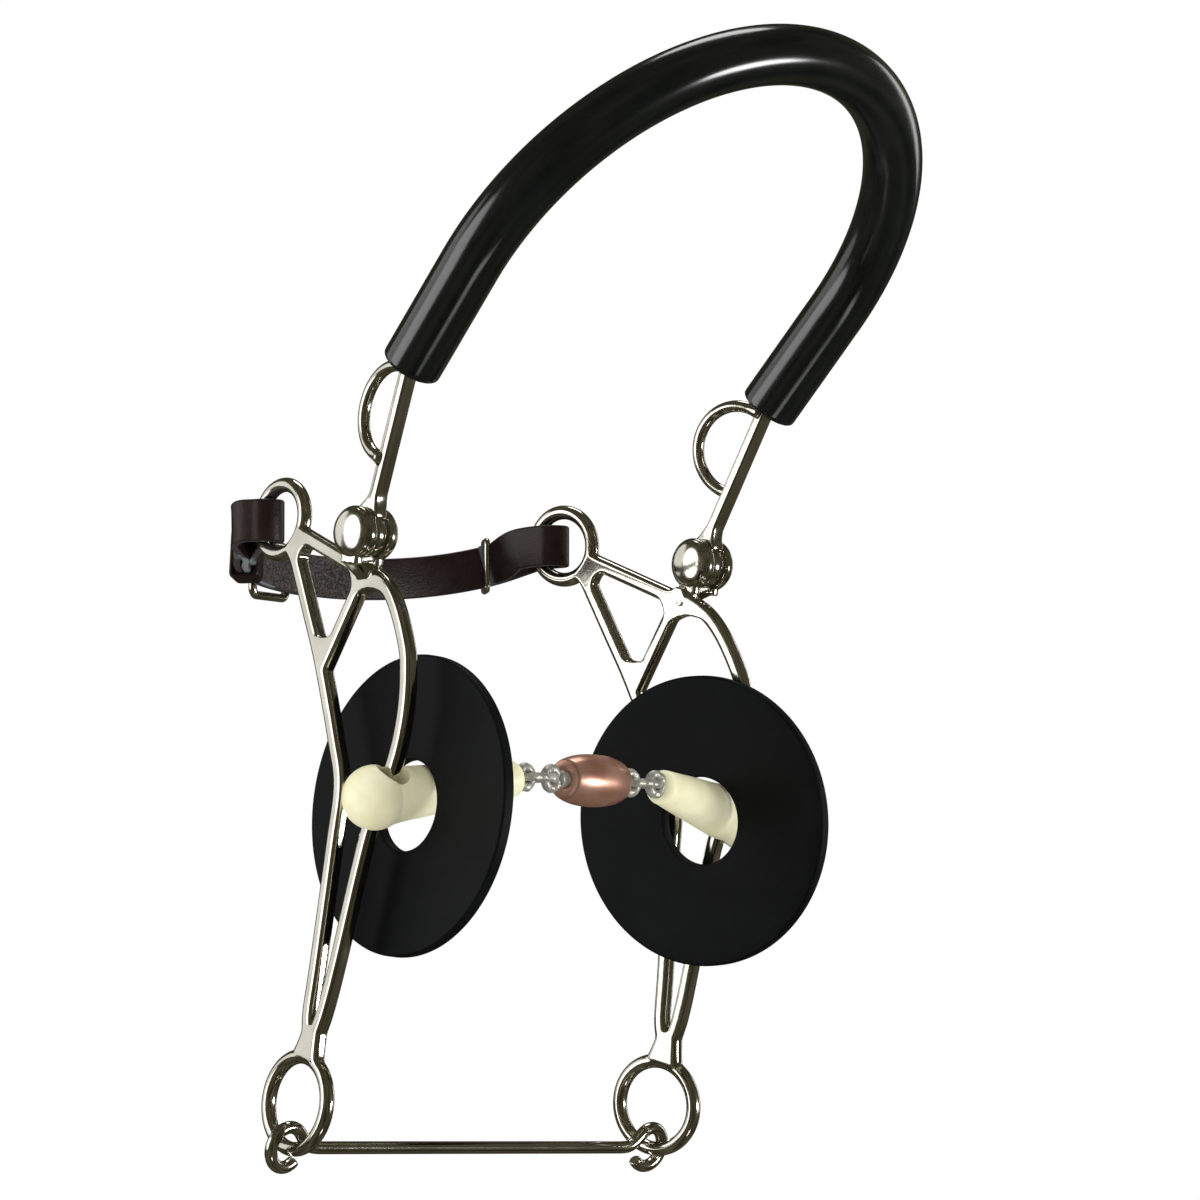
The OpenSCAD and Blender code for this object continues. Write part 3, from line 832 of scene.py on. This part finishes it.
def build_chain():
    """Cast links and roller rod, and the copper roller."""
    for node in ("left_link", "right_link", "roller_rod"):
        build_casting(f"{node}_casting", node, node)
    half = ROLLER_LEN / 2
    lip = ROLLER_R - ROLLER_TAPER
    barrel = []
    for i in range(-20, 21):
        barrel.append((ROLLER_R - ROLLER_TAPER * abs(i / 20) ** 2.5, i / 20 * (half - 0.5)))
    profile = [(ROLLER_BORE_R, -half + 0.6), (ROLLER_BORE_R + 0.5, -half + 0.1)]
    profile += [(ROLLER_BORE_R + 1.0, -half), (lip - 0.6, -half), (lip - 0.18, -half + 0.15)]
    profile += barrel + [(r, -z) for r, z in profile[::-1]]
    place = along(Vector((0, BAR_EYE.y, BAR_EYE.z)), ACROSS)
    roller = make("copper_barrel", *lathe(profile, place, 96, closed=True), COPPER)
    finished(roller, "roller", "copper_roller", slot="copper")


def build_guard(side):
    """Flat rubber washer with moulded round edges."""
    spin = f"{side}_guard_spin"
    inner, outer = GUARD_HOLE_R + GUARD_EDGE, GUARD_R - GUARD_EDGE
    half = GUARD_T / 2
    low, high = GUARD_EDGE - half, half - GUARD_EDGE
    rings = range(20, 44, 4)
    profile = arc((outer, high), GUARD_EDGE, 90, 0, 6) + arc((outer, low), GUARD_EDGE, 0, -90, 6)
    profile += [(r, -half) for r in rings[::-1]]
    profile += arc((inner, low), GUARD_EDGE, -90, -180, 6)
    profile += arc((inner, high), GUARD_EDGE, 180, 90, 6)
    profile += [(r, half) for r in rings]
    place = along(joint_place(spin), joints[spin]["axis"])
    washer = make(f"{side}_guard_washer", *lathe(profile, place, 160, closed=True), GUARD_RUBBER)
    finished(washer, f"{side}_guard", f"{side}_guard", slot="guard_rubber")


# ---- slobber bar ----


def build_slobber_bar():
    """One wire, hooked round the bottom of each rein ring, its cut ends under the bar."""
    low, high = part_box("slobber_bar")
    hook_x = high.x / MM - SLOBBER_EYE_R - SLOBBER_R
    level = Vector((0, (low.y + high.y) / 2 / MM, (low.z + high.z) / 2 / MM))
    tall = Vector((0, -math.sin(HOOK_LEAN), math.cos(HOOK_LEAN)))
    deep = tall.cross(ACROSS)
    hook = []
    for i in range(HOOK_STEPS + 1):
        a = math.radians(HOOK_START - HOOK_TURN * i / HOOK_STEPS)
        inward = SLOBBER_EYE_R * math.cos(a)
        rise = SLOBBER_EYE_R * math.sin(a)
        spread = HOOK_SPREAD - HOOK_SPREAD * i / HOOK_STEPS
        hook.append(level + ACROSS * (inward - hook_x) + tall * rise + deep * spread)
    throat = [hook[-1]]
    for inward, rise in ((6.9, 1.9), (9.6, 0.35), (13, 0)):
        throat.append(level + ACROSS * (inward - hook_x) + tall * rise)
    left = hook[:-1] + smooth_path(throat, 0.8)
    right = [Vector((-p.x, p.y, p.z)) for p in left[::-1]]
    path = left + straight(left[-1], right[0], 4)[1:-1] + right
    wire = sweep(path, round_profile(SLOBBER_R, 24), side=deep, rounded=0.5)
    bar = joined("slobber_wire", [wire], STEEL)
    finished(bar, "slobber_bar", "slobber_bar", slot="polished_steel")


# ---- curb strap ----


def ring_back():
    """Middle of the wire at the back of the right-hand curb ring."""
    centre = mirrored(joint_place("strap_swing"), "left")
    back = cheek_place("right").col[1].to_3d()
    return centre + back * CURB_R


RING_BACK = ring_back()


def strap_at(angle, out=0.0):
    """Middle of the strap, from 0 degrees at the right-hand curb ring to 180 at the left-hand one."""
    a = math.radians(angle)
    return Vector(
        (
            (RING_BACK.x + out) * math.cos(a),
            RING_BACK.y + (STRAP_BOW + out) * math.sin(a),
            RING_BACK.z - STRAP_DROP * math.sin(a),
        )
    )


def strap_frame(angle, out, falling=False):
    """Axes on the strap: X along it, Y outwards. It tilts with the strap's fall if asked."""
    ahead = strap_at(angle + 1, out) - strap_at(angle - 1, out)
    turn = Matrix.Rotation(math.atan2(-ahead.y, -ahead.x), 4, "Z")
    if falling:
        turn = turn @ Matrix.Rotation(math.atan2(ahead.z, math.hypot(ahead.x, ahead.y)), 4, "Y")
    return Matrix.Translation(strap_at(angle, out)) @ turn


def band(name, path, width, material):
    """Leather band with rounded edges, upright, its cut ends and edges paler."""
    profile = box_profile(width, STRAP_T, 0.75)
    vertices, faces = sweep(path, profile, side=UP, rounded=0.5)
    n = len(profile)
    end_count = (EDGE_STEPS + 1) * n
    cut = []
    for i in range(len(vertices)):
        end = i < end_count or i >= len(vertices) - end_count
        edge = abs(profile[i % n][0]) > width / 2 - 0.3
        cut.append(0.3 if end else 0.15 if edge else 0.0)
    return make(name, vertices, faces, material, cut)


def fold_path(wider, forwards):
    """The strap's end round the right-hand ring, from its free end inside to the band outside.

    The fold reaches forwards of the ring's wire, and its outer side stands wider by the amounts given.
    """
    centre = RING_BACK + Vector((0.4, 0, 0))
    half_turn = arc((0, -forwards), -FOLD_R, 0, 180, 8)
    round_ring = [centre + Vector((x, y, 0)) for x, y in half_turn]
    inside = [strap_at(a, -STRAP_T - 0.1) for a in (29.5, 26, 21)]
    inside.append(centre + Vector((-4.9, 4.6, -0.8)))
    outside = [centre + Vector((3.9 + wider, 2.6, -0.2)), centre + Vector((1.6 + wider, 6.6, -1.6))]
    return inside + round_ring + outside


def build_strap():
    """Curb strap: one ply folded round both rings, with a second ply through the buckle."""
    right = fold_path(0, 5.6)
    left = [Vector((-p.x, p.y, p.z)) for p in fold_path(2, 2.2)[::-1]]
    middle = [strap_at(a) for a in range(22, 159, 8)]
    strap = band("curb_strap_leather", smooth_path(right + middle + left, 1.1), STRAP_W, LEATHER)
    strap.data.materials.append(FLESH)
    for face in strap.data.polygons:
        spot = face.center / MM
        facing = face.normal.dot(Vector((-spot.x, RING_BACK.y - spot.y, 0)).normalized())
        if spot.x < 8 and facing > 0.6 and spot.y > RING_BACK.y + FLESH_AND_HIGHLIGHT_DEPTH:
            face.material_index = 1
    # Painted highlight: edges on the left-hand part of the strap, behind the rings, take the pale edge
    # tone almost in full.
    cut = strap.data.attributes["cut"].data
    for vertex in strap.data.vertices:
        spot = vertex.co / MM
        on_edge = 0.1 < cut[vertex.index].value < 0.2
        if on_edge and spot.x < -30 and spot.y > RING_BACK.y + FLESH_AND_HIGHLIGHT_DEPTH:
            cut[vertex.index].value = 0.8
    finished(strap, "curb_strap", "curb_strap", "left_ring_loop", "right_ring_loop", slot="leather")
    billet = [strap_at(a, STRAP_T + 0.1) for a in range(BUCKLE_ANGLE - 16, BILLET_END, 4)]
    tail = band("curb_strap_tail", smooth_path(billet, 1.1), STRAP_W - 0.4, BURNISHED)
    finished(tail, "curb_strap", "strap_billet", slot="leather")


def loop_path(half_u, half_v, corner, place, u_axis):
    """Closed rounded rectangle: u along the place matrix's axis of that number, v along its Z axis."""
    points = []
    for u, v in box_profile(2 * half_u, 2 * half_v, corner, 8):
        local = Vector((0, 0, v))
        local[u_axis] = u
        points.append(place @ local)
    return points


def build_wire_keeper():
    """Upright oblong of steel wire round the strap and its folded end."""
    place = strap_frame(KEEPER_ANGLE, -STRAP_T / 2)
    path = loop_path(STRAP_T + 1.55, STRAP_W / 2 + 1.3, 1.4, place, 1)
    wire = sweep(path, round_profile(KEEPER_WIRE_R, 20), side=place.to_3x3() @ ACROSS, closed=True)
    keeper = joined("strap_keeper_wire", [wire], STEEL)
    finished(keeper, "curb_strap", "metal_keeper", slot="polished_steel")


def build_leather_keeper():
    """Leather loop round the strap and its tail."""
    place = strap_frame(LEATHER_KEEPER_ANGLE, STRAP_T / 2, falling=True)
    half_depth = (2 * STRAP_T + 1.3 + KEEPER_WALL) / 2
    half_height = (STRAP_W + 0.8 + KEEPER_WALL) / 2
    path = loop_path(half_depth, half_height, 1.3, place, 1)
    profile = box_profile(KEEPER_LEN, KEEPER_WALL, KEEPER_WALL * 0.45)
    loop = sweep(path, profile, side=place.to_3x3() @ ACROSS, closed=True)
    keeper = joined("strap_keeper_leather", [loop], BURNISHED)
    finished(keeper, "curb_strap", "leather_keeper", slot="leather")


def build_buckle():
    """Wire frame and its prong, which turns on the frame's heel bar."""
    place = strap_frame(BUCKLE_ANGLE, FRAME_OUT)
    deep = place.to_3x3() @ Vector((0, 1, 0))
    path = loop_path(BUCKLE_HALF, BUCKLE_H / 2 - BUCKLE_WIRE_R, 2.2, place, 0)
    wire = sweep(path, round_profile(BUCKLE_WIRE_R, 20), side=deep, closed=True)
    buckle = joined("buckle_wire_frame", [wire], STEEL)
    finished(buckle, "curb_strap", "buckle_frame", slot="polished_steel")
    wrap = BUCKLE_WIRE_R + 0.06 + PRONG_R
    curl = [(-BUCKLE_HALF + u, v) for u, v in arc((0, 0), wrap, -150, -270, 14)]
    tongue = [(-BUCKLE_HALF + 4, wrap), (0, wrap), (6, wrap), (BUCKLE_HALF + 1.2, wrap - 0.15)]
    points = [place @ Vector((u, v, 0)) for u, v in curl + tongue]
    prong = sweep(smooth_path(points, 0.7), round_profile(PRONG_R, 16), side=UP, rounded=0.5)
    tongue_wire = joined("buckle_tongue", [prong], STEEL)
    finished(tongue_wire, "buckle_prong", "buckle_prong", slot="polished_steel")


# ---- build everything ----

build_noseband()
for side_name in SIDES:
    build_arm(side_name)
    build_dee(side_name)
    build_cheek(side_name)
    build_mouth_bar(side_name)
    build_guard(side_name)
build_chain()
build_slobber_bar()
build_strap()
build_wire_keeper()
build_leather_keeper()
build_buckle()
# CAD nodes without a mesh of their own here keep the CAD's shape.
for node_name, node_object in frame["nodes"].items():
    if not node_object.hide_render:
        node_object.data.materials.clear()
        node_object.data.materials.append(CORE if node_name == "noseband_core" else STEEL)


# ---- stage, lights and camera ----

EYE = Vector((-1.5483, -1.3996, -0.1750))
LOOK = Vector((0.7455, 0.6621, 0.0764)).normalized()
SENSOR = 36
LENS = 211.1
FLOOR_Z = -0.6
FLOOR_R = 6
ROOM_R = 4


def build_camera():
    """The camera at the photograph's angle."""
    data = bpy.data.cameras.new("camera")
    data.sensor_width = SENSOR
    data.lens = LENS
    data.clip_end = 50
    camera = bpy.data.objects.new("camera", data)
    camera.location = EYE
    camera.rotation_mode = "QUATERNION"
    camera.rotation_quaternion = LOOK.to_track_quat("-Z", "Y")
    bpy.context.collection.objects.link(camera)
    bpy.context.scene.camera = camera


def softbox(name, azimuth, elevation, distance, width, height, power):
    """Area light aimed at the object. Azimuth is measured from the camera, to its right."""
    to_camera = math.atan2(EYE.y, EYE.x) + math.radians(azimuth)
    e = math.radians(elevation)
    way = Vector((math.cos(to_camera) * math.cos(e), math.sin(to_camera) * math.cos(e), math.sin(e)))
    centre = Vector((0, 0, -0.02))
    data = bpy.data.lights.new(name, "AREA")
    data.shape = "ELLIPSE"
    data.size, data.size_y = width, height
    data.energy = power
    lamp = bpy.data.objects.new(name, data)
    lamp.location = centre + way * distance
    lamp.rotation_mode = "QUATERNION"
    lamp.rotation_quaternion = (-way).to_track_quat("-Z", "Y")
    lamp.visible_camera = False
    bpy.context.collection.objects.link(lamp)


def room_material():
    """Softly mottled glow for what the metal mirrors."""
    material = bpy.data.materials.new("room_tone")
    material.use_nodes = True
    nodes, links = material.node_tree.nodes, material.node_tree.links
    nodes.clear()
    glow = nodes.new("ShaderNodeEmission")
    out = nodes.new("ShaderNodeOutputMaterial")
    tone = texture(nodes, links, "ShaderNodeTexNoise", 0.6, detail=2.0)
    ramp = colour_ramp(nodes, links, tone.outputs["Fac"], *ROOM_TONES, 0.35, 0.7)
    links.new(ramp.outputs["Color"], glow.inputs["Color"])
    links.new(glow.outputs["Emission"], out.inputs["Surface"])
    return material


def build_stage():
    """Pale floor, white surroundings, and a dark room that only mirror reflections see."""
    bpy.ops.mesh.primitive_circle_add(
        vertices=96, radius=FLOOR_R, fill_type="NGON", location=(0, 0, FLOOR_Z)
    )
    floor = bpy.context.object
    floor.name = "floor"
    paint, nodes, links, shader = new_material("floor_paint", 0.8)
    tone = texture(nodes, links, "ShaderNodeTexNoise", 2, detail=3.0)
    colour_between(nodes, links, shader, tone.outputs["Fac"], *FLOOR_TONES)
    floor.data.materials.append(paint)
    floor.visible_glossy = False
    bpy.ops.mesh.primitive_uv_sphere_add(segments=48, ring_count=24, radius=ROOM_R)
    room = bpy.context.object
    room.name = "mirrored_room"
    room.data.materials.append(room_material())
    room.visible_camera = False
    room.visible_diffuse = False
    room.visible_transmission = False
    room.visible_volume_scatter = False
    room.visible_shadow = False
    world = bpy.data.worlds.new("white")
    world.use_nodes = True
    background = world.node_tree.nodes["Background"]
    background.inputs["Color"].default_value = (1, 1, 1, 1)
    background.inputs["Strength"].default_value = 1.0
    world.cycles_visibility.glossy = False
    bpy.context.scene.world = world


build_camera()
build_stage()
# Azimuth and elevation in degrees, then distance, width and height in metres, then power in watts.
softbox("left_softbox", -74, 6, 1.5, 0.85, 1.2, 6.0)
softbox("far_left_softbox", -105, 14, 1.5, 0.75, 1.2, 2.0)
softbox("right_softbox", 76, -10, 1.5, 0.7, 0.3, 8.0)
softbox("right_strip", 132, 8, 1.7, 0.25, 1.2, 2.0)
softbox("top_softbox", 170, 66, 1.5, 0.7, 0.5, 3.5)
softbox("under_softbox", 20, -58, 1.4, 0.4, 0.2, 0.5)

bpy.context.scene.view_settings.view_transform = "Standard"
